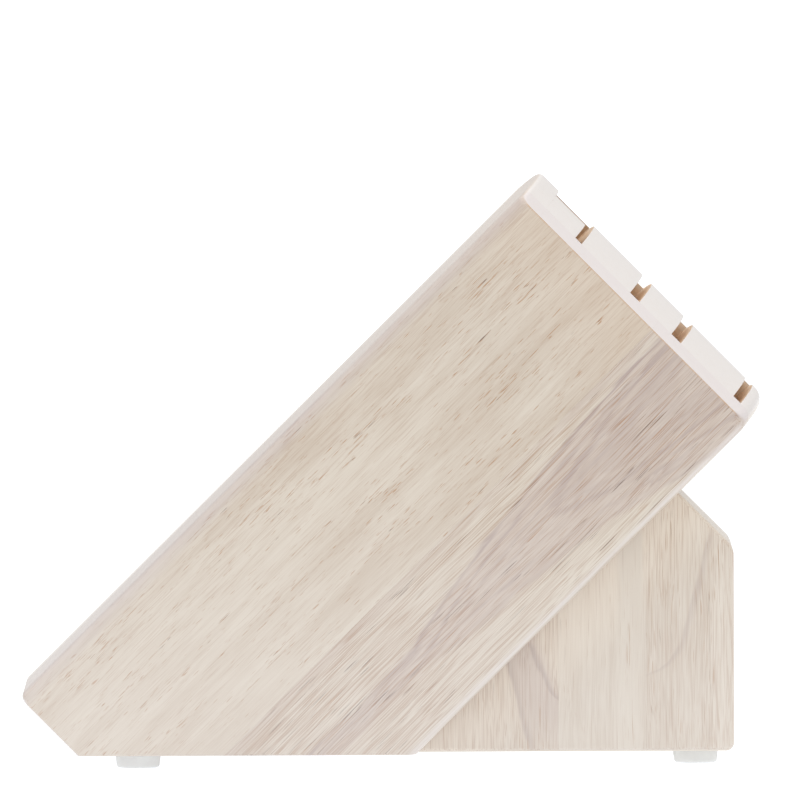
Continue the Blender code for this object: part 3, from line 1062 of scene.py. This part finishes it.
def foot_body(centre, floor_height):
    """A bmesh of one bumper, turned about an upright line through the centre."""
    rings = []
    for radius, height in foot_profile():
        ring = []
        for side in range(FOOT_SIDES):
            angle = 2 * math.pi * side / FOOT_SIDES
            x = centre.x + radius * math.cos(angle)
            y = centre.y + radius * math.sin(angle)
            ring.append((x, y, floor_height + height))
        rings.append(ring)
    return skinned(rings)


def make_feet():
    """A bumper at each foot of the CAD."""
    material = foot_material()
    for node in sorted(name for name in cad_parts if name.startswith("foot_")):
        low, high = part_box(node)
        body = foot_body((low + high) / 2, low.z)
        piece = smooth_object(f"{node}_bumper", body, (material,))
        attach(piece, "root")
        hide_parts(node)


# ---------------------------------------------------------------- room, light and camera

FLOOR_SIZE = 60
FLOOR_GREY = (0.3, 0.3, 0.3, 1)
FLOOR_ROUGHNESS = 0.9
GLOW_COLOUR = (0.95, 0.985, 1.02, 1)
GLOW_STRENGTH = 0.75
GLOW_EXTRA = 0.25  # added under the block
GLOW_CORE = 0.1  # radius of the part that has it all
GLOW_RADIUS = 0.55


def make_floor():
    """A plain white table that gives some light of its own, brightest under the block."""
    body = bmesh.new()
    bmesh.ops.create_grid(body, x_segments=1, y_segments=1, size=FLOOR_SIZE / 2)
    floor = object_from("floor", body)
    material = new_material("floor_white")
    tree = material.node_tree
    coordinates = tree.nodes.new("ShaderNodeTexCoord")
    length = tree.nodes.new("ShaderNodeVectorMath")
    length.operation = "LENGTH"
    tree.links.new(coordinates.outputs["Object"], length.inputs[0])
    shader = tree.nodes["Principled BSDF"]
    shader.inputs["Base Color"].default_value = FLOOR_GREY
    shader.inputs["Roughness"].default_value = FLOOR_ROUGHNESS
    shader.inputs["Emission Color"].default_value = GLOW_COLOUR
    near_middle = Signal(length.outputs["Value"]).rise(GLOW_RADIUS, GLOW_CORE)
    plug(shader.inputs["Emission Strength"], near_middle * GLOW_EXTRA + GLOW_STRENGTH)
    floor.data.materials.append(material)


# The sky's strength near the horizon, what is added overhead, and the share of straight up where
# that starts
SKY_COLOUR = (1, 0.99, 0.97, 1)
SKY_STRENGTH = 0.8
SKY_EXTRA = 1.1
SKY_TURN = 0.3


def make_light():
    """A white room that is brighter overhead than at the horizon."""
    world = bpy.data.worlds.new("studio")
    bpy.context.scene.world = world
    world.use_nodes = True
    tree = world.node_tree
    coordinates = tree.nodes.new("ShaderNodeTexCoord")
    split = tree.nodes.new("ShaderNodeSeparateXYZ")
    tree.links.new(coordinates.outputs["Generated"], split.inputs["Vector"])
    background = tree.nodes["Background"]
    background.inputs["Color"].default_value = SKY_COLOUR
    overhead = Signal(split.outputs["Z"]).rise(SKY_TURN, 1)
    plug(background.inputs["Strength"], overhead * SKY_EXTRA + SKY_STRENGTH)


# A long lens, so that the sides stay nearly parallel
CAMERA_DISTANCE = 7.3
CAMERA_LENS = 961.9
SENSOR_WIDTH = 36
NEAREST_SEEN = 0.1
FARTHEST_SEEN = 100
CAMERA_PITCH = math.radians(2.65)
CAMERA_ROLL = math.radians(-0.243)
CAMERA_TARGET = Vector((0.00297, -0.045, 0.12628))  # on the plane of the near side face


def make_camera():
    """A camera far in front of the near side, a little above level."""
    data = bpy.data.cameras.new("camera")
    data.lens = CAMERA_LENS
    data.sensor_width = SENSOR_WIDTH
    data.clip_start = NEAREST_SEEN
    data.clip_end = FARTHEST_SEEN
    camera = bpy.data.objects.new("camera", data)
    bpy.context.scene.collection.objects.link(camera)
    turn = Matrix.Rotation(math.pi / 2 - CAMERA_PITCH, 4, "X") @ Matrix.Rotation(CAMERA_ROLL, 4, "Z")
    back = turn @ Vector((0, 0, CAMERA_DISTANCE))
    camera.matrix_world = Matrix.Translation(CAMERA_TARGET + back) @ turn
    bpy.context.scene.camera = camera


SLOT_WALLS = raw_material()
block_stations = eased_stations(0, BLOCK_WIDTH, LONG_EDGE_ROUND, CROWN_STEPS)
block_shape = lofted_guide("block_shape", block_stations, block_outline)
support_stations = eased_stations(
    SUPPORT_SET_BACK, BLOCK_WIDTH - SUPPORT_SET_BACK, SUPPORT_EDGE_EASE, 1
)
support_shape = lofted_guide("support_shape", support_stations, support_outline)
make_side_boards(block_shape)
make_core(block_shape)
make_support(support_shape)
make_feet()
bpy.data.objects.remove(block_shape)
bpy.data.objects.remove(support_shape)
make_floor()
make_light()
make_camera()
bpy.context.scene.view_settings.view_transform = "Standard"
